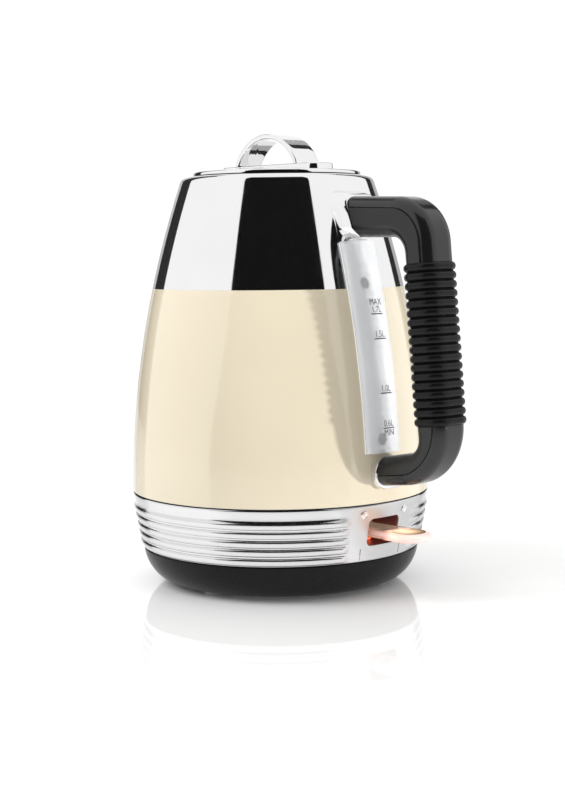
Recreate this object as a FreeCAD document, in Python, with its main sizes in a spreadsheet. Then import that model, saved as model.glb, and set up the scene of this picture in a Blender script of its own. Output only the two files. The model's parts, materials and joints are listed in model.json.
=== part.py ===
import FreeCAD
import Part

import math
import os

import Sketcher
from FreeCAD import Placement, Rotation, Vector

os.makedirs("parts", exist_ok=True)
doc = FreeCAD.newDocument("kettle")

# Driving sizes, in mm and degrees.  The table is z = 0, the handle points to +X, the spout to -X.
SIZES = {
    "body_r": 83.6,          # widest outer radius of the body
    "body_arc": 551.0,       # radius of the body's side curve
    "body_arc_z": 46.0,      # height where that curve stands upright
    "border_z": 165.3,       # cream enamel below, bright metal above
    "shoulder_z": 226.3,     # top of the rounded shoulder
    "neck_r": 48.5,          # inside of the turned-down neck
    "skin": 0.6,             # enamel jacket
    "sheet": 1.0,            # steel sheet
    "band_top_z": 51.7,
    "band_top_r": 83.45,
    "band_low_z": 21.1,
    "band_low_r": 78.0,
    "base_top_z": 20.8,
    "base_top_r": 77.7,
    "base_low_z": 2.4,
    "base_low_r": 63.7,
    "deck_z": 18.0,
    "foot_r": 5.0,
    "foot_ring_r": 55.0,
    "tower_r": 18.2,
    "pin_r": 2.5,
    "running_gap": 0.05,     # radial gap of a pin turning in its bore
    "plate_z": 61.0,
    "plate_r": 79.6,
    "element_r": 45.0,
    "gauge_w": 24.0,
    "gauge_bulge": 4.0,
    "gauge_y": -2.5,         # the gauge's centre line, a little to one side of the handle
    "handle_w": 22.0,
    "handle_round": 6.5,
    "collar_proud": 8.5,     # how far the handle's upper root stands off the body
    "ring_proud": 4.4,       # and the lower one
    "rib_pitch": 4.62,
    "rib_proud": 1.5,
    "lever_z": 36.0,
    "lever_r": 11.5,
    "lever_thick": 4.6,
    "pivot_x": 50.0,
    "pivot_r": 1.5,
    "lid_r": 46.8,
    "lid_low_z": 226.8,
    "strap_r": 27.5,
    "strap_w": 17.5,
    "strap_thick": 2.5,
}

sheet = doc.addObject("Spreadsheet::Sheet", "Sizes")
for row, (name, value) in enumerate(SIZES.items(), 1):
    sheet.set("A%d" % row, name)
    sheet.set("B%d" % row, str(value))
    sheet.setAlias("B%d" % row, name)
doc.recompute()


class Size(float):
    """A number that remembers the spreadsheet formula behind it."""

    def __new__(cls, value, formula):
        number = float.__new__(cls, value)
        number.formula = formula
        return number

    def __add__(self, other):
        return Size(float(self) + float(other), "(%s + %s)" % (self.formula, text(other)))

    def __radd__(self, other):
        return Size(float(self) + float(other), "(%s + %s)" % (text(other), self.formula))

    def __sub__(self, other):
        return Size(float(self) - float(other), "(%s - %s)" % (self.formula, text(other)))

    def __rsub__(self, other):
        return Size(float(other) - float(self), "(%s - %s)" % (text(other), self.formula))

    def __mul__(self, other):
        return Size(float(self) * float(other), "(%s * %s)" % (self.formula, text(other)))

    __rmul__ = __mul__

    def __truediv__(self, other):
        return Size(float(self) / float(other), "(%s / %s)" % (self.formula, text(other)))

    def __neg__(self):
        return Size(-float(self), "(0 - %s)" % self.formula)


def text(value):
    return value.formula if isinstance(value, Size) else repr(float(value))


def dim(name):
    return Size(SIZES[name], "Sizes." + name)


def bind(obj, prop, value):
    """Sets a size, and ties it to the spreadsheet when it comes from there."""
    setattr(obj, prop, float(value))
    if isinstance(value, Size):
        obj.setExpression(prop, value.formula)


def body_r(z, inset=0.0):
    """Outer radius of the body at height z, less an inset."""
    drop = float(z) - SIZES["body_arc_z"]
    arc = SIZES["body_arc"]
    radius = SIZES["body_r"] - arc + math.sqrt(arc * arc - drop * drop) - float(inset)
    formula = "(Sizes.body_r - Sizes.body_arc + sqrt(Sizes.body_arc^2 - (%s - Sizes.body_arc_z)^2) - %s)"
    return Size(radius, formula % (text(z), text(inset)))


def band_r(z, inset=0.0):
    """Outer radius of the plain metal of the lower band at height z, less an inset."""
    slope = (dim("band_top_r") - dim("band_low_r")) / (dim("band_top_z") - dim("band_low_z"))
    return dim("band_low_r") + slope * (z - dim("band_low_z")) - inset


def plane(body, role):
    for feature in body.Origin.OriginFeatures:
        if feature.Role == role:
            return feature
    raise ValueError(role)


def sketch(body, role, points, arcs=None, offset=0.0):
    """A closed outline.  arcs[i] is a point that the edge leaving corner i bends through."""
    arcs = arcs or {}
    drawn = body.newObject("Sketcher::SketchObject", body.Name + "Sketch")
    drawn.AttachmentSupport = [(plane(body, role), "")]
    drawn.MapMode = "FlatFace"
    drawn.AttachmentOffset = Placement(Vector(0, 0, float(offset)), Rotation())
    if isinstance(offset, Size):
        drawn.setExpression("AttachmentOffset.Base.z", offset.formula)
    corners = [Vector(float(x), float(y), 0) for x, y in points]
    starts = []
    for i, corner in enumerate(corners):
        after = corners[(i + 1) % len(corners)]
        starts.append(1)
        if i in arcs:
            bend = Vector(float(arcs[i][0]), float(arcs[i][1]), 0)
            # a sketch keeps its arcs anticlockwise, so a clockwise one is drawn from its far end
            if (after - corner).cross(bend - corner).z > 0:
                starts[i] = 2
            ends = (corner, after) if starts[i] == 1 else (after, corner)
            edge = Part.Arc(ends[0], bend, ends[1])
        else:
            edge = Part.LineSegment(corner, after)
        drawn.addGeometry(edge, False)
    for i, (x, y) in enumerate(points):
        j = (i + 1) % len(points)
        drawn.addConstraint(Sketcher.Constraint("Coincident", i, 3 - starts[i], j, starts[j]))
    for i, (x, y) in enumerate(points):
        for axis, value, line in (("DistanceX", x, -2), ("DistanceY", y, -1)):
            if float(value) == 0:
                drawn.addConstraint(Sketcher.Constraint("PointOnObject", i, starts[i], line))
                continue
            index = drawn.addConstraint(Sketcher.Constraint(axis, -1, 1, i, starts[i], float(value)))
            if isinstance(value, Size):
                drawn.setExpression("Constraints[%d]" % index, value.formula)
        if i in arcs:
            radius = drawn.Geometry[i].Radius
            index = drawn.addConstraint(Sketcher.Constraint("Radius", i, radius))
            if len(arcs[i]) > 2:
                drawn.setExpression("Constraints[%d]" % index, text(arcs[i][2]))
    return drawn


def circle_sketch(body, role, circles, offset=0.0):
    """Circles given as (x, y, radius)."""
    drawn = body.newObject("Sketcher::SketchObject", body.Name + "Circles")
    drawn.AttachmentSupport = [(plane(body, role), "")]
    drawn.MapMode = "FlatFace"
    drawn.AttachmentOffset = Placement(Vector(0, 0, float(offset)), Rotation())
    if isinstance(offset, Size):
        drawn.setExpression("AttachmentOffset.Base.z", offset.formula)
    for i, (x, y, radius) in enumerate(circles):
        drawn.addGeometry(Part.Circle(Vector(float(x), float(y), 0), Vector(0, 0, 1), float(radius)), False)
        index = drawn.addConstraint(Sketcher.Constraint("Radius", i, float(radius)))
        if isinstance(radius, Size):
            drawn.setExpression("Constraints[%d]" % index, radius.formula)
        for axis, value, line in (("DistanceX", x, -2), ("DistanceY", y, -1)):
            if float(value) == 0:
                drawn.addConstraint(Sketcher.Constraint("PointOnObject", i, 3, line))
                continue
            index = drawn.addConstraint(Sketcher.Constraint(axis, -1, 1, i, 3, float(value)))
            if isinstance(value, Size):
                drawn.setExpression("Constraints[%d]" % index, value.formula)
    return drawn


def new_body(name):
    return doc.addObject("PartDesign::Body", name)


def revolve(body, points, arcs=None, angle=360.0):
    """Turns an XZ outline about the kettle's axis."""
    feature = body.newObject("PartDesign::Revolution", body.Name + "Turn")
    feature.Profile = sketch(body, "XZ_Plane", points, arcs)
    feature.ReferenceAxis = (feature.Profile[0], ["V_Axis"])
    feature.Angle = angle
    doc.recompute()
    return feature


def pad(body, profile, length, midplane=False):
    feature = body.newObject("PartDesign::Pad", body.Name + "Pad")
    feature.Profile = profile
    feature.Midplane = midplane
    bind(feature, "Length", length)
    doc.recompute()
    return feature


def pocket(body, profile, length=None, midplane=False, reverse=False):
    """Cuts the outline away, all the way through when no length is given."""
    before = body.Shape.Volume
    feature = body.newObject("PartDesign::Pocket", body.Name + "Cut")
    feature.Profile = profile
    feature.Midplane = midplane
    feature.Reversed = reverse
    if length is None:
        feature.Type = 1
    else:
        bind(feature, "Length", length)
    doc.recompute()
    if feature.Shape.Volume >= before - 1e-6:
        raise ValueError("the cut removed nothing: " + feature.Name)
    return feature


def polar(body, features, count):
    pattern = body.newObject("PartDesign::PolarPattern", body.Name + "Ring")
    pattern.Originals = features
    pattern.Axis = (plane(body, "Z_Axis"), [""])
    pattern.Angle = 360
    pattern.Occurrences = count
    body.Tip = pattern
    doc.recompute()
    return pattern


def turned(name, points, arcs=None):
    body = new_body(name)
    revolve(body, points, arcs)
    return body


def prism(name, role, points, length, arcs=None, offset=0.0, midplane=False):
    body = new_body(name)
    pad(body, sketch(body, role, points, arcs, offset), length, midplane)
    return body


def cylinder(name, radius, height, at, axis=(0, 0, 1)):
    solid = doc.addObject("Part::Cylinder", name)
    bind(solid, "Radius", radius)
    bind(solid, "Height", height)
    solid.Placement = Placement(Vector(*[float(v) for v in at]), Rotation(Vector(0, 0, 1), Vector(*axis)))
    return solid


def cut(name, base, *tools):
    tool = tools[0]
    if len(tools) > 1:
        tool = doc.addObject("Part::MultiFuse", name + "Tools")
        tool.Shapes = list(tools)
    result = doc.addObject("Part::Cut", name)
    result.Base = base
    result.Tool = tool
    doc.recompute()
    return result


def common(name, *solids):
    result = doc.addObject("Part::MultiCommon", name)
    result.Shapes = list(solids)
    doc.recompute()
    return result


def fuse(name, *solids):
    result = doc.addObject("Part::MultiFuse", name)
    result.Shapes = list(solids)
    doc.recompute()
    return result


def rounded(name, base, radius, wanted):
    """Part fillet on the edges for which wanted(edge) is true."""
    result = doc.addObject("Part::Fillet", name)
    result.Base = base
    edges = [i for i, edge in enumerate(base.Shape.Edges, 1) if wanted(edge)]
    result.Edges = [(i, float(radius), float(radius)) for i in edges]
    doc.recompute()
    return result


def box_points(x0, x1, y0, y1):
    return [(x0, y0), (x1, y0), (x1, y1), (x0, y1)]


def polar_xy(radius, degrees):
    turn = math.radians(degrees)
    return radius * math.cos(turn), radius * math.sin(turn)


kept = {}


def keep(node, obj):
    """Names the finished object of one piece."""
    obj.Label = node
    kept[node] = obj
    return obj


# ---------------------------------------------------------------- power base
def base_arc_point(degrees):
    """A point of the base's rounded side, from its foot (0) to its rim (90)."""
    turn = math.radians(degrees)
    power = 2 / 1.735
    across = dim("base_low_r") + (dim("base_top_r") - dim("base_low_r")) * math.sin(turn) ** power
    up = dim("base_low_z") + (dim("base_top_z") - dim("base_low_z")) * (1 - math.cos(turn) ** power)
    return across, up


def make_base():
    middle = base_arc_point(45)
    low_mid = [float(v) for v in base_arc_point(22.5)]
    high_mid = [float(v) for v in base_arc_point(67.5)]
    shell = new_body("BaseShell")
    deck = dim("deck_z")
    revolve(shell, [
        (dim("tower_r"), deck - 2.2), (75.0, deck - 2.2), (70.4, 8.9), (61.3, 4.8),
        (61.3, dim("base_low_z")), (dim("base_low_r"), dim("base_low_z")), middle,
        (dim("base_top_r"), dim("base_top_z")), (75.2, dim("base_top_z")), (74.4, deck),
        (dim("tower_r"), deck),
    ], {5: low_mid, 6: high_mid})
    spot = polar_xy(50, 5)
    boss = pad(shell, circle_sketch(shell, "XY_Plane", [(spot[0], spot[1], 3.4)], 4.8), deck - 2.2 - 4.6)
    polar(shell, [boss], 3)
    pilot_round = circle_sketch(shell, "XY_Plane", [(spot[0], spot[1], 1.25)], 4.0)
    pilot = pocket(shell, pilot_round, 9.0, reverse=True)
    polar(shell, [pilot], 3)
    gland_hole = cylinder("GlandHole", 5.0, 30.0, (-55, 0, 9.6), (-1, 0, 0))
    keep("base_shell", cut("BaseShellCut", shell, gland_hole))

    bottom = new_body("BaseBottom")
    low = dim("base_low_z")
    # the plain ring in the middle stands level with the feet
    revolve(bottom, [(0, low), (22.0, low), (22.0, 0), (25.0, 0), (25.0, low), (61.2, low), (61.2, low + 2.2),
                     (0, low + 2.2)])
    lug = prism("BaseLug", "XY_Plane", box_points(55.5, 60.0, -3.5, 3.5), 1.2, offset=low - 1.1)
    lugs = []
    for angle in (-25, 95, 215):
        copy = doc.addObject("Part::Feature", "BaseLugCopy")
        copy.Shape = lug.Shape
        copy.Placement = Placement(Vector(), Rotation(Vector(0, 0, 1), angle))
        lugs.append(copy)
    foot_ring = SIZES["foot_ring_r"]
    recesses = [cylinder("FootRecess", dim("foot_r"), 1.0, polar_xy(foot_ring, a) + (2.4,))
                for a in (-85, 35, 155)]
    heads = [cylinder("HeadRecess", 3.0, 1.6, polar_xy(50, a) + (2.4,)) for a in (5, 125, 245)]
    shanks = [cylinder("ShankHole", 1.5, 3.0, polar_xy(50, a) + (2.4,)) for a in (5, 125, 245)]
    whole = fuse("BaseBottomLugs", bottom, *lugs)
    keep("base_bottom", cut("BaseBottomCut", whole, *(recesses + heads + shanks)))

    feet = new_body("BaseFeet")
    x, y = polar_xy(foot_ring, -85)
    foot = pad(feet, circle_sketch(feet, "XY_Plane", [(x, y, dim("foot_r"))]), 3.4)
    polar(feet, [foot], 3)
    keep("base_feet", feet)

    tower = turned("ConnectorTower", [
        (0, 13.6), (21.0, 13.6), (21.0, deck - 2.2), (dim("tower_r"), deck - 2.2), (dim("tower_r"), 31.4),
        (16.6, 33.0), (12.0, 33.0), (12.0, 21.0), (9.0, 21.0), (9.0, 33.0), (2.9, 33.0), (2.9, 20.0),
        (0, 20.0),
    ])
    keep("connector_tower", tower)
    keep("contact_ring", turned("ContactRing", box_points(11.4, 12.0, 21.0, 30.5)))

    screws = new_body("BaseScrews")
    x, y = polar_xy(50, 5)
    head = pad(screws, circle_sketch(screws, "XY_Plane", [(x, y, 2.8)], 2.5), 1.5)
    shank = pad(screws, circle_sketch(screws, "XY_Plane", [(x, y, 1.25)], 3.0), 9.5)
    polar(screws, [head, shank], 3)
    keep("base_screws", screws)

    # drawn about the cord's own axis, then laid down along -X
    gland = turned("CordGland", [
        (3.2, 0), (5.0, 0), (5.0, 20.0), (4.2, 21.5), (3.2, 21.5),
    ])
    gland.Placement = Placement(Vector(-56.0, 0, 9.6), Rotation(Vector(0, 0, 1), Vector(-1, 0, 0)))
    keep("cord_gland", gland)


make_base()


# ---------------------------------------------------------------- shared shapes
def hull(name, proud, low, high):
    """A solid as wide as the body's outside plus `proud`, from one height to another."""
    middle = (low + high) / 2
    return turned(name, [(0, low), (body_r(low, -proud), low), (body_r(high, -proud), high), (0, high)],
                  {1: (body_r(middle, -proud), middle, dim("body_arc"))})


def soften(corners):
    """Turns (x, y, radius) corners into an outline with tangent arcs at the rounded ones."""
    points, arcs = [], {}
    for i, (x, y, radius) in enumerate(corners):
        here = Vector(float(x), float(y), 0)
        if not radius:
            points.append((x, y))
            continue
        before = Vector(float(corners[i - 1][0]), float(corners[i - 1][1]), 0) - here
        after = corners[(i + 1) % len(corners)]
        after = Vector(float(after[0]), float(after[1]), 0) - here
        before.normalize()
        after.normalize()
        half = before.getAngle(after) / 2
        back = radius / math.tan(half)
        inward = (before + after).normalize()
        start = here + before * back
        end = here + after * back
        middle = here + inward * (radius / math.sin(half) - radius)
        arcs[len(points)] = (middle.x, middle.y)
        points += [(start.x, start.y), (end.x, end.y)]
    return points, arcs


def shifted(path, distance, turn):
    """Moves an open path of (x, y, radius) corners sideways; `turn` is what that does to a radius."""
    moved = []
    for i, (x, y, radius) in enumerate(path):
        here = Vector(x, y, 0)
        sides = []
        for a, b in ((i - 1, i), (i, i + 1)):
            if a < 0 or b >= len(path):
                continue
            run = Vector(path[b][0] - path[a][0], path[b][1] - path[a][1], 0).normalize()
            sides.append(Vector(run.y, -run.x, 0))
        way = sides[0] if len(sides) == 1 else sides[0] + sides[1]
        scale = way.dot(sides[0]) if len(sides) == 2 else 1.0
        step = way * (distance / scale)
        moved.append((here.x + step.x, here.y + step.y, radius + turn * distance if radius else 0))
    return moved


# ---------------------------------------------------------------- kettle body
def make_vessel():
    skin, steel, neck = dim("skin"), dim("sheet"), dim("neck_r")
    top, border = dim("shoulder_z"), dim("border_z")
    thick = skin + steel
    low, high = 52.4, 223.58
    body = turned("Vessel", [
        (80.3, 49.6), (81.3, 49.6), (81.3, low), (body_r(low, skin), low), (body_r(border, skin), border),
        (body_r(border), border), (body_r(high), high), (50.42, top), (neck, top), (neck, 213.0),
        (neck + steel, 213.0), (neck + steel, top - 1.2), (50.4, top - 1.2), (body_r(222.5, thick), 222.5),
        (body_r(53.6, thick), 53.6), (80.3, 53.6),
    ], {
        3: (body_r(109, skin), 109, dim("body_arc")),
        5: (body_r(193), 193, dim("body_arc")),
        6: (52.75, 225.55),
        12: (52.2, 224.3),
        13: (body_r(137, thick), 137, dim("body_arc")),
    })
    mouth, mouth_bends = soften([(-5, 198, 2), (5, 198, 2), (12.5, 217.5, 3), (-12.5, 217.5, 3)])
    tools = [
        cylinder("PortLow", 3.2, 12, (74, dim("gauge_y"), 86), (1, 0, 0)),
        cylinder("PortHigh", 3.2, 12, (62, dim("gauge_y"), 168), (1, 0, 0)),
        cylinder("VesselScrewLow", 2.0, 12, (76, 0, 70), (1, 0, 0)),
        cylinder("VesselScrewHigh", 2.0, 12, (54, 0, 203), (1, 0, 0)),
        prism("SpoutMouth", "YZ_Plane", mouth, 30, mouth_bends, offset=-75),
    ]
    keep("vessel", cut("VesselCut", body, *tools))

    jacket = turned("Jacket", [
        (body_r(52.5, skin), 52.5), (body_r(52.5), 52.5), (body_r(border), border),
        (body_r(border, skin), border),
    ], {
        1: (body_r(109), 109, dim("body_arc")),
        3: (body_r(109, skin), 109, dim("body_arc")),
    })
    port = cylinder("JacketPort", 3.2, 12, (74, dim("gauge_y"), 86), (1, 0, 0))
    screw = cylinder("JacketScrew", 2.0, 12, (76, 0, 70), (1, 0, 0))
    keep("cream_jacket", cut("JacketCut", jacket, port, screw))


def make_band():
    low, top, steel = dim("band_low_z"), dim("band_top_z"), dim("sheet")
    inside = [
        (81.3, top), (81.3, top - 1.0), (band_r(top - 1.0, steel), top - 1.0),
        (band_r(low + 1.0, steel), low + 1.0), (76.0, low + 1.0),
    ]
    half, proud = 1.7, 1.0
    ribbed, bends = [(76.0, low), (band_r(low), low)], {}
    for height in (23.6, 28.6, 33.4, 38.3, 43.1):
        bends[len(ribbed)] = (float(band_r(height)) + proud, height)
        ribbed += [(band_r(height - half), height - half), (band_r(height + half), height + half)]
    ribs = new_body("BandRibs")
    revolve(ribs, ribbed + [(band_r(top), top)] + inside, bends, angle=328.8)
    ribs.Placement = Placement(Vector(), Rotation(Vector(0, 0, 1), 15.6))
    panel = new_body("BandPanel")
    revolve(panel, [(76.0, low), (band_r(low), low), (band_r(top), top)] + inside, angle=31.2)
    panel.Placement = Placement(Vector(), Rotation(Vector(0, 0, 1), -15.6))
    opening, bends = soften([(-11.5, 29.2, 3.2), (11.5, 29.2, 3.2), (11.5, 44.2, 3.2), (-11.5, 44.2, 3.2)])
    caps = [cylinder("CapHole", 2.0, 12, band_cap_at(side) + (46.9,), polar_xy(1, side * 10.65) + (0,))
            for side in (-1, 1)]
    whole = fuse("BandWhole", ribs, panel)
    gap = prism("SwitchOpening", "YZ_Plane", opening, 20, bends, offset=70)
    keep("chrome_band", cut("BandCut", whole, gap, *caps))
    both = new_body("BandCaps")
    revolve(both, [(0, 0), (2.0, 0), (2.0, 1.6), (2.5, 1.6), (2.5, 2.0), (1.6, 2.6), (0, 2.6)])
    placed = []
    for side in (-1, 1):
        cap = doc.addObject("Part::Feature", "BandCap")
        cap.Shape = both.Shape
        out = float(band_r(46.9)) - 1.2
        way = Vector(*(polar_xy(1, side * 10.65) + (0,)))
        cap.Placement = Placement(way * out + Vector(0, 0, 46.9), Rotation(Vector(0, 0, 1), way))
        placed.append(cap)
    keep("band_caps", fuse("BandCapPair", *placed))


def band_cap_at(side):
    return polar_xy(74.0, side * 10.65)


def make_underside():
    screw_at = [polar_xy(60, angle) for angle in (60, 180, 300)]
    cover = turned("BottomCover", [
        (19.4, 22.2), (76.8, 22.2), (76.8, 24.4), (21.4, 24.4), (21.4, 38.0), (19.4, 38.0),
    ])
    holes = [cylinder("CoverHole", 1.5, 4, at + (21.5,)) for at in screw_at]
    keep("bottom_cover", cut("BottomCoverCut", cover, *holes))

    screws = new_body("BottomScrews")
    head = pad(screws, circle_sketch(screws, "XY_Plane", [screw_at[0] + (2.8,)], 21.2), 1.0)
    shank = pad(screws, circle_sketch(screws, "XY_Plane", [screw_at[0] + (1.5,)], 22.0), 12.0)
    polar(screws, [head, shank], 3)
    keep("bottom_screws", screws)

    plate = new_body("HeaterPlate")
    revolve(plate, box_points(0, dim("plate_r"), dim("plate_z"), dim("plate_z") + 2.0))
    stud = pad(plate, circle_sketch(plate, "XY_Plane", [screw_at[0] + (3.2,)], 24.4), dim("plate_z") - 24.3)
    polar(plate, [stud], 3)
    pilot = pocket(plate, circle_sketch(plate, "XY_Plane", [screw_at[0] + (1.5,)], 24.0), 10.4, reverse=True)
    polar(plate, [pilot], 3)
    keep("heater_plate", cut("HeaterPlateCut", plate, cylinder("SteamHole", 4.0, 10, (0, 55, 57))))

    keep("plate_seal", turned("PlateSeal", [
        (78.4, 60.0), (81.6, 60.0), (81.6, 64.0), (78.4, 64.0), (78.4, 63.0), (79.6, 63.0), (79.6, 61.0),
        (78.4, 61.0),
    ]))

    ring_r = float(dim("element_r"))
    ring = doc.addObject("Part::Torus", "ElementRing")
    bind(ring, "Radius1", dim("element_r"))
    ring.Radius2 = 3.5
    ring.Angle3 = 300
    ring.Placement = Placement(Vector(0, 0, 57.5), Rotation(Vector(0, 0, 1), 30))
    tails = [cylinder("ElementTail", 3.5, 13.5, polar_xy(ring_r, angle) + (44.0,)) for angle in (30, 330)]
    knees = []
    for angle in (30, 330):
        knee = doc.addObject("Part::Sphere", "ElementKnee")
        knee.Radius = 3.5
        knee.Placement.Base = Vector(*(polar_xy(ring_r, angle) + (57.5,)))
        knees.append(knee)
    keep("heating_element", fuse("HeatingElement", ring, *(tails + knees)))

    tube = new_body("SteamTube")
    pad(tube, circle_sketch(tube, "XY_Plane", [(0, 55, 4.0), (0, 55, 3.0)], 44), 154)
    keep("steam_tube", tube)

    gap = dim("pin_r") + dim("running_gap")
    keep("control_unit", turned("ControlUnit", [
        (gap, 38.0), (10.0, 38.0), (10.0, 41.0), (10.9, 41.0), (10.9, 38.0), (22.0, 38.0), (22.0, 55.0),
        (20.0, 57.0), (12.0, 57.0), (12.0, 61.0), (0, 61.0), (0, 47.0), (gap, 47.0),
    ]))
    keep("control_contacts", turned("ControlContacts", box_points(10.0, 10.9, 25.0, 41.0)))
    pin = turned("PlugPin", [
        (0, 23.0), (1.4, 23.0), (dim("pin_r"), 25.0), (dim("pin_r"), 46.4), (0, 46.4),
    ])
    keep("plug_pin", pin)


def make_switch():
    z, x = dim("lever_z"), dim("pivot_x")
    walls = prism("SwitchPocket", "XZ_Plane", box_points(41.0, 83.0, 27.5, 46.4), 25.0, midplane=True)
    inside = prism("SwitchPocketSpace", "XZ_Plane", box_points(35.0, 90.0, 29.0, 44.9), 22.0, midplane=True)
    drum = turned("BandInside", [(0, 20.0), (band_r(20.0, 1.0), 20.0), (band_r(52.0, 1.0), 52.0), (0, 52.0)])
    hole = cylinder("PivotHole", dim("pivot_r"), 40, (x, 20, z), (0, -1, 0))
    keep("switch_pocket", cut("SwitchPocketCut", common("SwitchPocketTrim", walls, drum), inside, hole))
    keep("switch_pin", cylinder("SwitchPin", dim("pivot_r"), 26.0, (x, 13, z), (0, -1, 0)))
    keep("indicator_lamp", cylinder("IndicatorLamp", 1.6, 12.0, (64, 6, 30.6), (0, -1, 0)))

    thick, disc = dim("lever_thick"), dim("lever_r")
    centre = 98.8
    join = centre - math.sqrt(disc * disc - 49.0)
    arms = prism("LeverArm", "XY_Plane", [
        (34, -4), (59, -4), (63, -7), (join, -7), (join, 7), (63, 7), (59, 4), (34, 4),
    ], thick, arcs={3: (centre + disc, 0, disc)}, offset=z - thick / 2)
    soft = rounded("LeverSoft", arms, 1.5, lambda edge: min(v.X for v in edge.Vertexes) > 62.9
                   and abs(edge.Vertexes[0].Z - edge.Vertexes[-1].Z) < 0.01)
    boss = cylinder("LeverBoss", 4.2, 8.0, (x, 4, z), (0, -1, 0))
    bore = cylinder("LeverBore", dim("pivot_r") + dim("running_gap"), 20, (x, 10, z), (0, -1, 0))
    keep("switch_lever", cut("SwitchLever", fuse("LeverWhole", soft, boss), bore))


# ---------------------------------------------------------------- water gauge
def arch(name, half, rise, low, high, sink):
    """A strip with an arched section that follows the body's side curve."""
    arc, rise_z = dim("body_arc"), SIZES["body_arc_z"]
    start = math.degrees(math.asin((high - rise_z) / SIZES["body_arc"]))
    end = math.degrees(math.asin((low - rise_z) / SIZES["body_arc"]))
    body = new_body(name)
    turn = body.newObject("PartDesign::Revolution", name + "Turn")
    side = dim("gauge_y")
    turn.Profile = sketch(body, "XY_Plane", [
        (arc - sink, side - half), (arc + rise - 2.8, side - half), (arc + rise - 2.8, side + half),
        (arc - sink, side + half),
    ], {1: (arc + rise, side)})
    turn.ReferenceAxis = (turn.Profile[0], ["V_Axis"])
    turn.Angle = start - end
    body.Placement = Placement(Vector(float(dim("body_r") - dim("body_arc")), 0, rise_z),
                               Rotation(Vector(0, 1, 0), -start))
    doc.recompute()
    return body


def make_gauge():
    half, rise, side = dim("gauge_w") / 2, dim("gauge_bulge"), dim("gauge_y")
    whole = arch("GaugeOut", half, rise, 79.0, 189.6, 3.0)
    shell = cut("GaugeShell", whole, arch("GaugeIn", half - 1.7, rise - 1.5, 80.7, 187.9, 4.0))
    keep("gauge_window", cut("GaugeWindow", shell, hull("GaugeSeat", 0.5, 60.0, 200.0)))
    band = common("GaugePad", whole, hull("GaugePadOver", 0.5, 60.0, 200.0))
    keep("gauge_seal", cut("GaugeSeal", band, hull("GaugePadUnder", 0.0, 58.0, 202.0),
                           cylinder("PadPortLow", 3.2, 30, (70, side, 86), (1, 0, 0)),
                           cylinder("PadPortHigh", 3.2, 30, (60, side, 168), (1, 0, 0))))


# ---------------------------------------------------------------- handle
HANDLE_OUT = [(50.0, 214.3, 0), (119.8, 212.0, 25.0), (133.0, 67.4, 31.0), (74.0, 60.3, 0)]
HANDLE_IN = [(50.0, 192.0, 0), (102.6, 192.0, 10.0), (112.8, 82.4, 8.0), (74.0, 75.0, 0)]
GRIP_AT = Placement(Vector(117.15, 0, 137.3), Rotation(Vector(0, 1, 0), -5.25))


def handle_outline(inset):
    outer = shifted(HANDLE_OUT, inset, -1)
    inner = shifted(HANDLE_IN, -inset, -1)
    return soften(outer + inner[::-1])


def grip_rect(grow):
    """Half sizes of the grip's section, in its own leaning frame, with rounded corners."""
    a, b = 9.43 + grow, 11.0 + grow
    r = max(SIZES["handle_round"] + grow, 1.0)
    return soften([(-a, -b, r), (a, -b, r), (a, b, r), (-a, b, r)])


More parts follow.
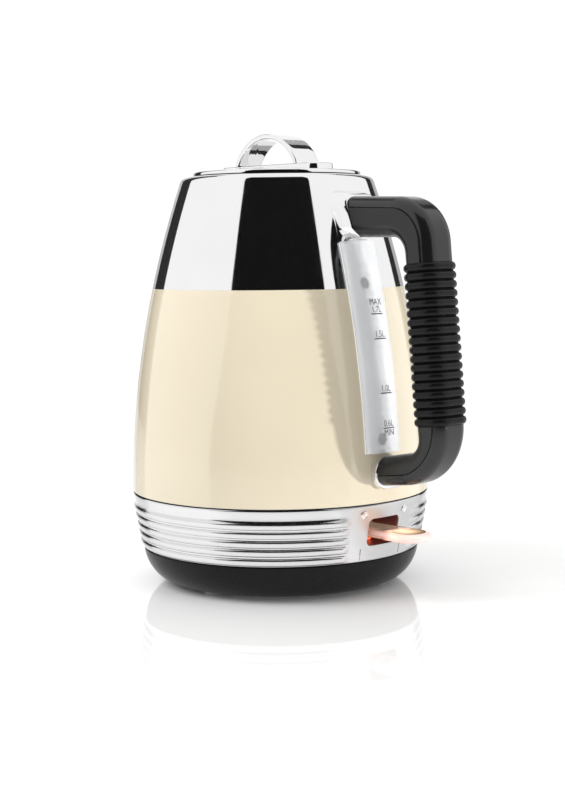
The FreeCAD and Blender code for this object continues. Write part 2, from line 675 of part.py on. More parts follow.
def make_handle():
    width = dim("handle_w")
    points, arcs = handle_outline(0.0)
    raw = prism("HandleRaw", "XZ_Plane", points, width, arcs, midplane=True)
    side = float(width) / 2 - 0.01
    whole = rounded("HandleSoft", raw, dim("handle_round"),
                    lambda edge: all(abs(v.Y) > side for v in edge.Vertexes)
                    and edge.Vertexes[0].Y * edge.Vertexes[-1].Y > 0
                    and max(v.X for v in edge.Vertexes) > 76)
    points, arcs = handle_outline(2.6)
    hollow = prism("HandleHollow", "XZ_Plane", points, width - 5.2, arcs, midplane=True)
    space = rounded("HandleSpace", hollow, 3.0,
                    lambda edge: all(abs(v.Y) > side - 2.6 for v in edge.Vertexes)
                    and edge.Vertexes[0].Y * edge.Vertexes[-1].Y > 0
                    and max(v.X for v in edge.Vertexes) > 76)

    sleeve_half = 41.6
    ring = new_body("GripRecess")
    pad(ring, sketch(ring, "XY_Plane", box_points(-15, 15, -15, 15), offset=-sleeve_half), 2 * sleeve_half)
    points, arcs = grip_rect(-1.3)
    pocket(ring, sketch(ring, "XY_Plane", points, arcs, offset=-sleeve_half), 2 * sleeve_half, reverse=True)
    ring.Placement = GRIP_AT

    high_body = hull("RootHigh", dim("collar_proud"), 150.0, 222.0)
    low_body = hull("RootLow", dim("ring_proud"), 50.0, 120.0)
    shell = cut("HandleShell", whole, space, ring, high_body, low_body)
    over = shifted(HANDLE_OUT, -12.0, 0)
    seam = shifted(HANDLE_OUT, 6.0, -1)
    points, arcs = soften([(x, z, 0) for x, z, r in over] + seam[::-1])
    outer_zone = prism("HandleSeam", "XZ_Plane", points, 40.0, arcs, midplane=True)
    keep("handle_outer_shell", common("HandleOuter", shell, outer_zone))
    keep("handle_inner_shell", cut("HandleInner", shell, outer_zone))
    screws = [cylinder("CoreScrewHigh", 2.0, 30, (54, 0, 203), (1, 0, 0)),
              cylinder("CoreScrewLow", 2.0, 30, (76, 0, 70), (1, 0, 0))]
    keep("handle_core", cut("HandleCore", space, high_body, low_body, *screws))

    grip = new_body("Grip")
    points, arcs = grip_rect(0.0)
    pad(grip, sketch(grip, "XY_Plane", points, arcs, offset=-sleeve_half), 2 * sleeve_half)
    pitch = dim("rib_pitch")
    points, arcs = grip_rect(SIZES["rib_proud"])
    rib = pad(grip, sketch(grip, "XY_Plane", points, arcs, offset=-8.5 * pitch - 1.8), 3.6)
    pattern = grip.newObject("PartDesign::LinearPattern", "GripRibs")
    pattern.Originals = [rib]
    pattern.Direction = (plane(grip, "Z_Axis"), [""])
    pattern.Length = 17 * float(pitch)
    pattern.setExpression("Length", (pitch * 17).formula)
    pattern.Occurrences = 18
    grip.Tip = pattern
    doc.recompute()
    points, arcs = grip_rect(-1.3)
    pocket(grip, sketch(grip, "XY_Plane", points, arcs, offset=-50), 100, reverse=True)
    grip.Placement = GRIP_AT
    keep("grip_sleeve", rounded("GripSleeve", grip, 1.2, rib_edge))

    # the upper root narrows from a wide foot on the body to the handle's own section
    collar = new_body("Collar")
    loft = collar.newObject("PartDesign::AdditiveLoft", "CollarLoft")
    foot, bends = soften([(-13.9, 190.0, 6.5), (13.9, 190.0, 6.5), (18.9, 218.4, 9.0), (-18.9, 218.4, 9.0)])
    loft.Profile = sketch(collar, "YZ_Plane", foot, bends, offset=50)
    neck, bends = soften([(-11.4, 191.6, 6.5), (11.4, 191.6, 6.5), (9.5, 212.9, 5.0), (-9.5, 212.9, 5.0)])
    loft.Sections = [sketch(collar, "YZ_Plane", neck, bends, offset=73)]
    loft.Ruled = True
    doc.recompute()
    shaped = common("CollarShape", collar, hull("CollarOver", dim("collar_proud"), 180.0, 221.5))
    keep("upper_collar", cut("CollarCut", shaped, hull("CollarUnder", 0.0, 178.0, 222.0),
                             cylinder("CollarScrew", 2.0, 30, (54, 0, 203), (1, 0, 0))))
    outline, bends = soften([(-11.6, 60.2, 6.5), (11.6, 60.2, 6.5), (11.6, 75.8, 6.5), (-11.6, 75.8, 6.5)])
    ring = prism("LowRing", "YZ_Plane", outline, 40, bends, offset=60)
    shaped = common("LowRingShape", ring, hull("LowRingOver", dim("ring_proud"), 55.0, 84.0))
    keep("lower_ring", cut("LowRingCut", shaped, hull("LowRingUnder", 0.0, 54.0, 85.0),
                           cylinder("RingScrew", 2.0, 30, (70, 0, 70), (1, 0, 0))))
    parts = [cylinder("ScrewHigh", 2.0, 26, (56.5, 0, 203), (1, 0, 0)),
             cylinder("HeadHigh", 3.6, 2.4, (54.6, 0, 203), (1, 0, 0)),
             cylinder("ScrewLow", 2.0, 17, (79.5, 0, 70), (1, 0, 0)),
             cylinder("HeadLow", 3.6, 2.4, (78.2, 0, 70), (1, 0, 0))]
    keep("handle_screws", fuse("HandleScrews", *parts))


def rib_edge(edge):
    """True for the outline edges of the grip's ribs, which stand proud of the grip itself."""
    local = GRIP_AT.inverse()
    spots = [local.multVec(v.Point) for v in edge.Vertexes]
    middle = local.multVec(edge.valueAt((edge.FirstParameter + edge.LastParameter) / 2))
    reach = max(abs(middle.x) / 9.43, abs(middle.y) / 11.0)
    flat = abs(spots[0].z - spots[-1].z) < 0.01
    proud = all(max(abs(p.x) - 9.43, abs(p.y) - 11.0) > 0.3 for p in spots)
    return flat and proud and reach > 0.6


# ---------------------------------------------------------------- spout
def beak(name, inset, top):
    body = new_body(name)
    loft = body.newObject("PartDesign::AdditiveLoft", name + "Loft")
    low = sketch(body, "XY_Plane", [
        (-46 - inset, -13 + inset), (-65.3 + inset, -3 + inset * 0.6), (-65.3 + inset, 3 - inset * 0.6),
        (-46 - inset, 13 - inset),
    ], {1: (-66.6 + inset, 0)}, offset=178 + inset)
    high = sketch(body, "XY_Plane", [
        (-46 - inset, -22 + inset), (-72.3 + inset, -5 + inset * 0.6), (-72.3 + inset, 5 - inset * 0.6),
        (-46 - inset, 22 - inset),
    ], {1: (-75.3 + inset, 0)}, offset=top)
    loft.Profile = low
    loft.Sections = [high]
    loft.Ruled = True
    doc.recompute()
    return body


def make_spout():
    shell = cut("SpoutShell", beak("BeakOut", 0.0, 221.0), beak("BeakIn", 1.2, 221.0))
    keep("spout", cut("Spout", shell, hull("SpoutSeat", 0.0, 170.0, 221.4)))
    frame = [(-15.5, 195.5, 5), (15.5, 195.5, 5), (15.5, 219.0, 5), (-15.5, 219.0, 5)]
    gap = [(-12.6, 198.4, 3.5), (12.6, 198.4, 3.5), (12.6, 217.1, 3.5), (-12.6, 217.1, 3.5)]
    outer, bends = soften(frame)
    inner, inner_bends = soften(gap)
    block = prism("FilterBlock", "YZ_Plane", outer, 40, bends, offset=-80)
    hole = prism("FilterHole", "YZ_Plane", inner, 60, inner_bends, offset=-90)
    wide = hull("FilterWide", -1.6, 190.0, 219.0)
    keep("filter_frame", cut("FilterFrame", common("FilterSlab", block, wide), hole,
                             hull("FilterSmall", -4.0, 188.0, 220.0)))
    fine = prism("FilterFine", "YZ_Plane", inner, 40, inner_bends, offset=-80)
    slab = common("FilterMeshSlab", fine, hull("MeshWide", -2.6, 190.0, 219.0))
    keep("filter_mesh", cut("FilterMesh", slab, hull("MeshSmall", -3.1, 188.0, 220.0)))


# ---------------------------------------------------------------- lid
def dome_arc(rim, rim_z, top_z):
    """A point halfway up a shallow dome."""
    rise = top_z - rim_z
    arc = (rim * rim + rise * rise) / (2 * rise)
    half = rim / 2
    return half, top_z - arc + math.sqrt(arc * arc - half * half)


def make_lid():
    low, wide = dim("lid_low_z"), dim("lid_r")
    keep("rim_ring", turned("RimRing", [
        (47.3, 213.5), (dim("neck_r"), 213.5), (dim("neck_r"), dim("shoulder_z")),
        (47.3, dim("shoulder_z")),
    ]))
    cover = turned("LidCover", [
        (0, 230.4), (45.2, 228.0), (45.2, low), (wide, low), (wide, 228.1), (45.9, 229.0), (0, 231.4),
    ], {0: dome_arc(45.2, 228.0, 230.4), 4: (46.54, 228.74), 5: dome_arc(45.9, 229.0, 231.4)})
    shanks = [cylinder("LidShankHole", 1.1, 6, (x, 0, 227.9)) for x in (-24, 24)]
    keep("lid_cover", cut("LidCoverCut", cover, *shanks))
    keep("lid_liner", turned("LidLiner", [
        (0, 214.5), (43.6, 214.5), (44.4, 215.3), (44.4, 226.0), (45.2, 226.0), (45.2, 227.8), (43.0, 227.8),
        (43.0, 216.5), (0, 216.5),
    ]))
    keep("lid_seal", turned("LidSeal", [
        (44.4, 218.0), (46.0, 218.0), (46.9, 219.0), (46.9, 220.2), (45.6, 221.0), (45.6, 222.5),
        (44.4, 222.5),
    ]))
    outline, bends = soften([(-38.5, -9, 5.5), (38.5, -9, 5.5), (38.5, 9, 5.5), (-38.5, 9, 5.5)])
    slab = prism("GripPlate", "XY_Plane", outline, 4.3, bends, offset=228.5)
    soft = rounded("GripPlateSoft", slab, 0.9, lambda edge: all(v.Z > 232.7 for v in edge.Vertexes))
    under = turned("LidDome", [(0, 225.0), (45.9, 225.0), (45.9, 229.0), (0, 231.4)],
                   {2: dome_arc(45.9, 229.0, 231.4)})
    holes = [cylinder("PlateShankHole", 1.1, 3.9, (x, 0, 228.4)) for x in (-24, 24)]
    keep("lid_grip_plate", cut("GripPlateCut", soft, under, *holes))
    radius, thick = dim("strap_r"), dim("strap_thick")
    centre, foot = 222.2, 232.8
    wide_x = math.sqrt(radius * radius - (foot - centre) ** 2)
    inner_r = float(radius) - float(thick)
    inner_x = math.sqrt(inner_r ** 2 - (foot - centre) ** 2)
    strap = prism("Strap", "XZ_Plane", [(wide_x, foot), (-wide_x, foot), (-inner_x, foot), (inner_x, foot)],
                  dim("strap_w"), {0: (0, centre + radius, radius), 2: (0, centre + inner_r, radius - thick)},
                  midplane=True)
    keep("lid_strap", rounded("StrapSoft", strap, 0.8, lambda edge: edge.Length > 50))
    screws = [cylinder("LidScrew", 1.1, 3.4, (x, 0, 228.8)) for x in (-24, 24)]
    heads = [cylinder("LidScrewHead", 2.6, 1.3, (x, 0, 228.0)) for x in (-24, 24)]
    keep("lid_screws", fuse("LidScrews", *(screws + heads)))


for build in (make_vessel, make_band, make_underside, make_switch, make_gauge, make_handle, make_spout,
              make_lid):
    build()
doc.recompute()

faults = [obj.Label for obj in doc.Objects if "Invalid" in obj.State or "Error" in obj.State]
if faults:
    raise ValueError("objects in error: %s" % faults)
for node, obj in kept.items():
    shape = obj.Shape
    if shape.isNull() or not shape.isValid() or not shape.Solids:
        raise ValueError("bad shape: " + node)
    shape.exportStep("parts/%s.step" % node)
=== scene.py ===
import json
import math

import bpy
from mathutils import Matrix, Vector


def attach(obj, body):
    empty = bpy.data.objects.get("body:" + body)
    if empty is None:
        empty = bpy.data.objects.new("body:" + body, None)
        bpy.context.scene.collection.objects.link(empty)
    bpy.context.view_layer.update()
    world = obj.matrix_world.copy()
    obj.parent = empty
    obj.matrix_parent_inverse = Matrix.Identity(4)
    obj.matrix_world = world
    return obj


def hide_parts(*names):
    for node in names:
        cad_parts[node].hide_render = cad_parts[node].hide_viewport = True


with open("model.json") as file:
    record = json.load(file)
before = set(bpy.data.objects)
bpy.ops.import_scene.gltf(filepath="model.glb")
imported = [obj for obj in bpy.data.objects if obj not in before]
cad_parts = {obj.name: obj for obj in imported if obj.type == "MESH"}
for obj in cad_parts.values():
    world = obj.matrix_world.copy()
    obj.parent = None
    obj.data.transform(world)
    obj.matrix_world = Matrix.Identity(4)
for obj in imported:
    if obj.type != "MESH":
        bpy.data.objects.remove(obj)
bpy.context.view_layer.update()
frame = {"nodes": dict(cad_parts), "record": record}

MM = 0.001
nodes = frame["nodes"]

# places and sizes in mm that more than one piece shares
BODY_R, BODY_ARC, BODY_MID = 83.6, 551.0, 46.0      # widest radius, arc of the side, height of the widest
RIM_Z = 226.3
JACKET_TOP = 165.3
SHEET = 0.6
BAND_LOW, BAND_HIGH = 21.1, 51.7
GAUGE_Y = -2.5
GAUGE_LOW, GAUGE_HIGH = 79.0, 189.6
GAUGE_RISE = 4.0
PORT_R, PORT_LOW, PORT_HIGH = 3.2, 86.0, 168.0
HANDLE_HALF, HANDLE_CORNER, SEAM = 11.0, 6.5, 6.0    # half width, corner radius, seam from the outer face
COLLAR_PROUD, RING_PROUD = 8.5, 4.4
LEVER_Z = 36.0
SPOUT_TOP = 221.0


# ------------------------------------------------------------------ materials
def material(name, color, metallic=0.0, roughness=0.4, coat=0.0, grain=(60.0, 0.02), smudge=0.06,
             tint=0.03, transmission=0.0, ior=1.5, glow=None, brushed=False, shine=0.5, scatter=0.0,
             alpha=1.0):
    """A surface with fine grain in its bump and slow variation in its gloss and colour.

    grain is (noise scale per metre, bump height in mm)."""
    made = bpy.data.materials.new(name)
    made.use_nodes = True
    tree = made.node_tree
    shader = tree.nodes["Principled BSDF"]
    shader.inputs["Metallic"].default_value = metallic
    shader.inputs["IOR"].default_value = ior
    shader.inputs["Coat Weight"].default_value = coat
    shader.inputs["Coat Roughness"].default_value = 0.04
    shader.inputs["Transmission Weight"].default_value = transmission
    shader.inputs["Specular IOR Level"].default_value = shine
    shader.inputs["Alpha"].default_value = alpha
    if scatter:
        shader.inputs["Subsurface Weight"].default_value = scatter
        shader.inputs["Subsurface Radius"].default_value = (0.004, 0.003, 0.003)
    if glow:
        shader.inputs["Emission Color"].default_value = (*glow[0], 1.0)
        shader.inputs["Emission Strength"].default_value = glow[1]
    place = tree.nodes.new("ShaderNodeTexCoord")
    stretch = tree.nodes.new("ShaderNodeMapping")
    stretch.inputs["Scale"].default_value = (1.0, 1.0, 14.0) if brushed else (1.0, 1.0, 1.0)
    tree.links.new(place.outputs["Object"], stretch.inputs["Vector"])

    def noise(scale, detail):
        cloud = tree.nodes.new("ShaderNodeTexNoise")
        cloud.inputs["Scale"].default_value = scale
        cloud.inputs["Detail"].default_value = detail
        tree.links.new(stretch.outputs["Vector"], cloud.inputs["Vector"])
        return cloud.outputs["Fac"]

    def spread(source, low, high):
        scaled = tree.nodes.new("ShaderNodeMapRange")
        scaled.inputs["From Min"].default_value = 0.3
        scaled.inputs["From Max"].default_value = 0.7
        scaled.inputs["To Min"].default_value = low
        scaled.inputs["To Max"].default_value = high
        tree.links.new(source, scaled.inputs["Value"])
        return scaled.outputs["Result"]

    slow = noise(38.0, 5.0)
    tree.links.new(spread(slow, max(roughness - smudge / 2, 0.01), roughness + smudge / 2),
                   shader.inputs["Roughness"])
    mix = tree.nodes.new("ShaderNodeMix")
    mix.data_type = "RGBA"
    mix.inputs["A"].default_value = (*[c * (1 - tint) for c in color], 1.0)
    mix.inputs["B"].default_value = (*[min(c * (1 + tint), 1.0) for c in color], 1.0)
    tree.links.new(spread(noise(21.0, 3.0), 0.0, 1.0), mix.inputs["Factor"])
    tree.links.new(mix.outputs["Result"], shader.inputs["Base Color"])
    bump = tree.nodes.new("ShaderNodeBump")
    bump.inputs["Strength"].default_value = 1.0
    bump.inputs["Distance"].default_value = grain[1] * MM
    tree.links.new(noise(grain[0], 4.0), bump.inputs["Height"])
    tree.links.new(bump.outputs["Normal"], shader.inputs["Normal"])
    return made


CHROME = (0.86, 0.86, 0.865)
LOOKS = {
    "polished_steel": material("PolishedSteel", CHROME, 1.0, 0.05, grain=(45, 0.006), smudge=0.03),
    "cream_enamel": material("CreamEnamel", (0.62, 0.55, 0.415), 0.0, 0.14, coat=0.75, grain=(160, 0.005),
                             smudge=0.05, tint=0.015),
    "band_chrome": material("BandChrome", (0.72, 0.72, 0.725), 1.0, 0.15, grain=(60, 0.008), smudge=0.05),
    "cap_chrome": material("CapChrome", CHROME, 1.0, 0.07, grain=(300, 0.003)),
    "collar_chrome": material("CollarChrome", CHROME, 1.0, 0.06, grain=(120, 0.006)),
    "ring_chrome": material("RingChrome", CHROME, 1.0, 0.06, grain=(120, 0.006)),
    "lid_steel": material("LidSteel", CHROME, 1.0, 0.07, grain=(70, 0.006)),
    "strap_chrome": material("StrapChrome", CHROME, 1.0, 0.06, grain=(120, 0.005)),
    "grip_plate_chrome": material("GripPlateChrome", CHROME, 1.0, 0.07, grain=(120, 0.005)),
    "spout_steel": material("SpoutSteel", CHROME, 1.0, 0.06, grain=(60, 0.008)),
    "base_black": material("BaseBlack", (0.006, 0.006, 0.0065), 0.0, 0.26, coat=0.04, grain=(900, 0.012),
                           shine=0.12),
    "base_black_matt": material("BaseBlackMatt", (0.02, 0.02, 0.021), 0.0, 0.55, grain=(700, 0.03)),
    "handle_outer_black": material("HandleOuter", (0.006, 0.006, 0.0065), 0.0, 0.22, coat=0.22,
                                   grain=(900, 0.010), shine=0.45),
    "handle_inner_black": material("HandleInner", (0.007, 0.007, 0.0075), 0.0, 0.26, coat=0.1,
                                   grain=(900, 0.012), shine=0.38),
    "grip_rubber": material("GripRubber", (0.004, 0.004, 0.0045), 0.0, 0.24, grain=(1100, 0.015), shine=0.18),
    "core_black": material("CoreBlack", (0.03, 0.03, 0.03), 0.0, 0.6, grain=(500, 0.03)),
    "tower_black": material("TowerBlack", (0.02, 0.02, 0.021), 0.0, 0.45, grain=(800, 0.02)),
    "control_black": material("ControlBlack", (0.03, 0.03, 0.031), 0.0, 0.5, grain=(600, 0.03)),
    "cover_black": material("CoverBlack", (0.02, 0.02, 0.021), 0.0, 0.5, grain=(700, 0.03)),
    "rim_black": material("RimBlack", (0.015, 0.015, 0.016), 0.0, 0.4, grain=(700, 0.015)),
    "liner_black": material("LinerBlack", (0.02, 0.02, 0.021), 0.0, 0.45, grain=(600, 0.02)),
    "filter_plastic": material("FilterPlastic", (0.05, 0.05, 0.052), 0.0, 0.4, grain=(700, 0.02)),
    "gland_rubber": material("GlandRubber", (0.015, 0.015, 0.015), 0.0, 0.6, grain=(900, 0.03)),
    "seal_rubber": material("SealRubber", (0.42, 0.42, 0.41), 0.0, 0.55, grain=(700, 0.03)),
    "lid_rubber": material("LidRubber", (0.35, 0.35, 0.35), 0.0, 0.5, grain=(700, 0.03)),
    "tube_silicone": material("TubeSilicone", (0.62, 0.62, 0.60), 0.0, 0.4, grain=(500, 0.02), scatter=0.3),
    "brass_contact": material("BrassContact", (0.78, 0.60, 0.28), 1.0, 0.25, grain=(400, 0.01)),
    "brass_pin": material("BrassPin", (0.80, 0.63, 0.30), 1.0, 0.18, grain=(400, 0.008)),
    "screw_steel": material("ScrewSteel", (0.60, 0.60, 0.62), 1.0, 0.3, grain=(500, 0.015)),
    "pin_steel": material("PinSteel", (0.60, 0.60, 0.61), 1.0, 0.25, grain=(500, 0.01)),
    "plate_steel": material("PlateSteel", (0.58, 0.58, 0.59), 1.0, 0.32, grain=(300, 0.02), brushed=True),
    "element_steel": material("ElementSteel", (0.42, 0.36, 0.32), 1.0, 0.4, grain=(300, 0.03), tint=0.2),
    "mesh_steel": material("MeshSteel", (0.55, 0.55, 0.56), 1.0, 0.3, grain=(2500, 0.15)),
    "pocket_red": material("PocketRed", (0.20, 0.055, 0.05), 0.0, 0.35, grain=(600, 0.02)),
    "lamp_red": material("LampRed", (0.8, 0.10, 0.05), 0.0, 0.2, grain=(500, 0.01),
                         glow=((1.0, 0.16, 0.08), 1.2)),
    "lever_clear": material("LeverClear", (0.90, 0.64, 0.64), 0.0, 0.10, grain=(220, 0.10),
                            transmission=0.30, ior=1.42, scatter=0.3, tint=0.14),
    "foot_clear": material("FootClear", (0.86, 0.87, 0.86), 0.0, 0.25, grain=(500, 0.02),
                           transmission=0.6, ior=1.43),
    "gauge_clear": material("GaugeClear", (0.86, 0.87, 0.88), 0.0, 0.06, coat=0.8, grain=(90, 0.02),
                            smudge=0.06, tint=0.05, alpha=0.34),
    "gauge_gasket": material("GaugeGasket", (0.93, 0.935, 0.94), 0.0, 0.35, grain=(500, 0.02),
                             smudge=0.1, tint=0.05),
    "print_grey": material("PrintGrey", (0.012, 0.012, 0.014), 0.0, 0.5, grain=(1500, 0.005)),
    # painted shade: near black laid on the skirt in the gap under the cream jacket, standing for its shadow
    "painted_shadow_black": material("PaintedShadowBlack", (0.006, 0.006, 0.006), 0.0, 0.8, grain=(900, 0.02)),
}


def painted_glow(look, centre, reach, color, strength):
    """Paints a glow on a look round a point given in mm, fading out over `reach` mm: emission standing in for
    light.
    """
    tree = look.node_tree
    place = tree.nodes.new("ShaderNodeTexCoord")
    far = tree.nodes.new("ShaderNodeVectorMath")
    far.operation = "DISTANCE"
    far.inputs[1].default_value = tuple(c * MM for c in centre)
    tree.links.new(place.outputs["Object"], far.inputs[0])
    fade = tree.nodes.new("ShaderNodeMapRange")
    fade.interpolation_type = "SMOOTHSTEP"
    fade.inputs["From Min"].default_value = 0.0
    fade.inputs["From Max"].default_value = reach * MM
    fade.inputs["To Min"].default_value = strength
    fade.inputs["To Max"].default_value = strength * 0.08
    tree.links.new(far.outputs["Value"], fade.inputs["Value"])
    shader = tree.nodes["Principled BSDF"]
    shader.inputs["Emission Color"].default_value = (*color, 1.0)
    tree.links.new(fade.outputs["Result"], shader.inputs["Emission Strength"])


def satin_beyond(look, start, full, bright, satin):
    """Makes a look rougher toward +X, from `start` to `full` mm."""
    tree = look.node_tree
    place = tree.nodes.new("ShaderNodeTexCoord")
    split = tree.nodes.new("ShaderNodeSeparateXYZ")
    tree.links.new(place.outputs["Object"], split.inputs["Vector"])
    gloss = tree.nodes.new("ShaderNodeMapRange")
    gloss.inputs["From Min"].default_value = start * MM
    gloss.inputs["From Max"].default_value = full * MM
    gloss.inputs["To Min"].default_value = bright
    gloss.inputs["To Max"].default_value = satin
    tree.links.new(split.outputs["X"], gloss.inputs["Value"])
    tree.links.new(gloss.outputs["Result"], tree.nodes["Principled BSDF"].inputs["Roughness"])


# painted glow: the clear lever is given warm emission round its paddle, standing in for light shining through
# it
painted_glow(LOOKS["lever_clear"], (97.0, -1.0, 37.0), 12.0, (1.0, 0.66, 0.42), 1.7)
# the plain panel round the switch is satin, while the rolled ribs are bright
satin_beyond(LOOKS["band_chrome"], 76.0, 78.5, 0.15, 0.40)


# ------------------------------------------------------------------ mesh helpers (mm in, metres out)
def add(name, data):
    """Puts a new object in the scene."""
    obj = bpy.data.objects.new(name, data)
    bpy.context.scene.collection.objects.link(obj)
    return obj


def piece(name, verts, faces, body, slot, stands_for=(), sharp=32.0, look=None):
    """A visible piece that rides on a body and may stand for CAD nodes."""
    mesh = bpy.data.meshes.new(name)
    mesh.from_pydata([(x * MM, y * MM, z * MM) for x, y, z in verts], [], faces)
    mesh.update()
    mesh.shade_smooth()
    mesh.set_sharp_from_angle(angle=math.radians(sharp))
    obj = add(name, mesh)
    mesh.materials.append(look or LOOKS[slot])
    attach(obj, body)
    if stands_for:
        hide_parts(*stands_for)
    return obj


def skin(rings, close_ends=False, wrap=False, loop=True):
    """Quads between rings of equal length.  wrap joins the last ring to the first."""
    verts = [v for ring in rings for v in ring]
    n = len(rings[0])
    faces = []
    count = len(rings) if wrap else len(rings) - 1
    for i in range(count):
        a, b = i * n, ((i + 1) % len(rings)) * n
        for j in range(n if loop else n - 1):
            k = (j + 1) % n
            faces.append((a + j, a + k, b + k, b + j))
    if close_ends:
        faces.append(tuple(range(n - 1, -1, -1)))
        faces.append(tuple(range((len(rings) - 1) * n, len(rings) * n)))
    return verts, faces


def bend(before, here, after, r):
    """Start, end and centre of the arc of radius r that rounds the corner at `here`."""
    here = Vector(here)
    back_way = (Vector(before) - here).normalized()
    on_way = (Vector(after) - here).normalized()
    half = back_way.angle(on_way) / 2
    back = r / math.tan(half)
    return (here + back_way * back, here + on_way * back,
            here + (back_way + on_way).normalized() * (r / math.sin(half)))


def rounded(points, steps=5):
    """An outline whose (x, y, radius) corners are turned into arcs."""
    out = []
    n = len(points)
    for i, (x, y, r) in enumerate(points):
        if not r:
            out.append((x, y))
            continue
        start, end, centre = bend(points[i - 1][:2], (x, y), points[(i + 1) % n][:2], r)
        a0, a1 = start - centre, end - centre
        sweep = a0.angle(a1)
        side = 1 if a0.x * a1.y - a0.y * a1.x > 0 else -1
        for s in range(steps + 1):
            turn = side * sweep * s / steps
            c, d = math.cos(turn), math.sin(turn)
            out.append((centre.x + a0.x * c - a0.y * d, centre.y + a0.x * d + a0.y * c))
    return out


def dense(points, longest):
    """Splits the long edges of a closed outline."""
    out = []
    for i, (x, y) in enumerate(points):
        u, v = points[(i + 1) % len(points)]
        steps = max(1, math.ceil(math.hypot(u - x, v - y) / longest))
        out += [(x + (u - x) * s / steps, y + (v - y) * s / steps) for s in range(steps)]
    return out


def even(points, cuts):
    """Cuts every straight run of a rounded four-cornered outline into the same number of pieces."""
    out = []
    lengths = [math.dist(p, points[(i + 1) % len(points)]) for i, p in enumerate(points)]
    runs = sorted(range(len(points)), key=lambda i: -lengths[i])[:4]
    for i, (x, y) in enumerate(points):
        out.append((x, y))
        if i in runs:
            u, v = points[(i + 1) % len(points)]
            out += [(x + (u - x) * s / cuts, y + (v - y) * s / cuts) for s in range(1, cuts)]
    return out


def spread_out(points, count):
    """The given number of points, evenly spaced along an open line of points."""
    lengths = [0.0]
    for p, q in zip(points, points[1:]):
        lengths.append(lengths[-1] + math.dist(p, q))
    out = []
    j = 0
    for k in range(count):
        want = lengths[-1] * k / (count - 1)
        while j < len(lengths) - 2 and lengths[j + 1] < want:
            j += 1
        span = lengths[j + 1] - lengths[j]
        f = (want - lengths[j]) / span if span else 0.0
        out.append(tuple(a + (b - a) * f for a, b in zip(points[j], points[j + 1])))
    return out


def circle(r, z, count):
    """A level ring of points round the kettle's axis."""
    return [(r * math.cos(2 * math.pi * k / count), r * math.sin(2 * math.pi * k / count), z)
            for k in range(count)]


def lathe(name, outline, body, slot, stands_for=()):
    """Turns a closed (radius, z) outline about the kettle's axis."""
    verts, faces = skin([circle(r, z, 256) for r, z in outline], wrap=True)
    return piece(name, verts, faces, body, slot, stands_for)


def carve(obj, *cutters, sharp=32.0, folds=False):
    """Cuts the given closed meshes out of obj and removes them.  folds allows obj to overlap itself."""
    for cutter in cutters:
        cut = obj.modifiers.new("Cut", "BOOLEAN")
        cut.operation = "DIFFERENCE"
        cut.solver = "EXACT"
        cut.use_self = folds
        cut.object = cutter
    seen = obj.evaluated_get(bpy.context.evaluated_depsgraph_get())
    cut_mesh = bpy.data.meshes.new_from_object(seen)
    obj.modifiers.clear()
    obj.data = cut_mesh
    cut_mesh.set_sharp_from_angle(angle=math.radians(sharp))
    for cutter in cutters:
        bpy.data.objects.remove(cutter)


def tool(rings):
    """A closed cutter from a list of rings."""
    verts, faces = skin(rings, close_ends=True)
    mesh = bpy.data.meshes.new("Cutter")
    mesh.from_pydata([(x * MM, y * MM, z * MM) for x, y, z in verts], [], faces)
    return add("Cutter", mesh)


def bar_x(outline_yz, x0, x1):
    """A closed cutter along X with the given (y, z) section."""
    return tool([[(x, y, z) for y, z in outline_yz] for x in (x0, x1)])


def disc(y, z, r, n=32):
    """A round (y, z) section."""
    return [(y + r * math.cos(2 * math.pi * k / n), z + r * math.sin(2 * math.pi * k / n)) for k in range(n)]


def body_r(z):
    """Radius of the body's outside at height z."""
    return BODY_R - BODY_ARC + math.sqrt(BODY_ARC ** 2 - (z - BODY_MID) ** 2)


def band_r(z):
    """Radius of the band between its ribs at height z."""
    return 78.0 + (z - BAND_LOW) * 5.45 / 30.6


def side_curve(low, high, inset, steps):
    """(radius, z) points up the body's side, a given distance inside its surface."""
    return [(body_r(low + (high - low) * s / steps) - inset, low + (high - low) * s / steps)
            for s in range(steps + 1)]


# ------------------------------------------------------------------ kettle body
def make_body():
    """The steel vessel with its bright shoulder, and the cream jacket over its lower part."""
    shoulder = rounded([(body_r(222.0), 222.0, 0), (53.29, RIM_Z, 4.0), (48.5, RIM_Z, 0)], 9)[1:-1]
    outline = [(80.3, 49.6), (81.3, 49.6), (81.3, 52.3)]
    outline += side_curve(52.4, JACKET_TOP, SHEET, 24)
    outline += side_curve(JACKET_TOP, 222.0, 0.0, 19)
    outline += shoulder
    outline += [(49.0, RIM_Z), (48.6, 226.1), (48.5, 225.7), (48.5, 213.0), (49.5, 213.0), (49.5, 225.1)]
    outline += [(50.4, 225.1), (52.2, 224.3)]
    outline += reversed(side_curve(53.6, 222.5, 1.6, 30))
    outline += [(80.3, 53.6)]
    vessel = lathe("vessel_skin", outline, "kettle", "polished_steel", ("vessel",))
    mouth = rounded([(-5, 198, 2), (5, 198, 2), (12.5, 217.5, 3), (-12.5, 217.5, 3)])
    carve(vessel, bar_x(mouth, -80, -45), bar_x(disc(GAUGE_Y, PORT_LOW, PORT_R), 70, 90),
          bar_x(disc(GAUGE_Y, PORT_HIGH, PORT_R), 60, 80))
    # the skirt behind the joint of jacket and band is painted near black: painted shade that stands for the
    # shadow in the gap between them
    vessel.data.materials.append(LOOKS["painted_shadow_black"])
    for face in vessel.data.polygons:
        if face.center.z < 52.45 * MM:
            face.material_index = 1
    jacket = [(body_r(52.5) - SHEET, 52.5), (body_r(52.5) - 0.25, 52.5), (body_r(52.8), 52.8)]
    jacket += side_curve(53.2, 165.0, 0.0, 28)
    jacket += [(body_r(JACKET_TOP) - 0.05, JACKET_TOP), (body_r(JACKET_TOP) - SHEET, JACKET_TOP)]
    jacket += reversed(side_curve(53.2, 165.0, SHEET, 28))
    coat = lathe("cream_coat", jacket, "kettle", "cream_enamel", ("cream_jacket",))
    carve(coat, bar_x(disc(GAUGE_Y, PORT_LOW, PORT_R), 70, 90))


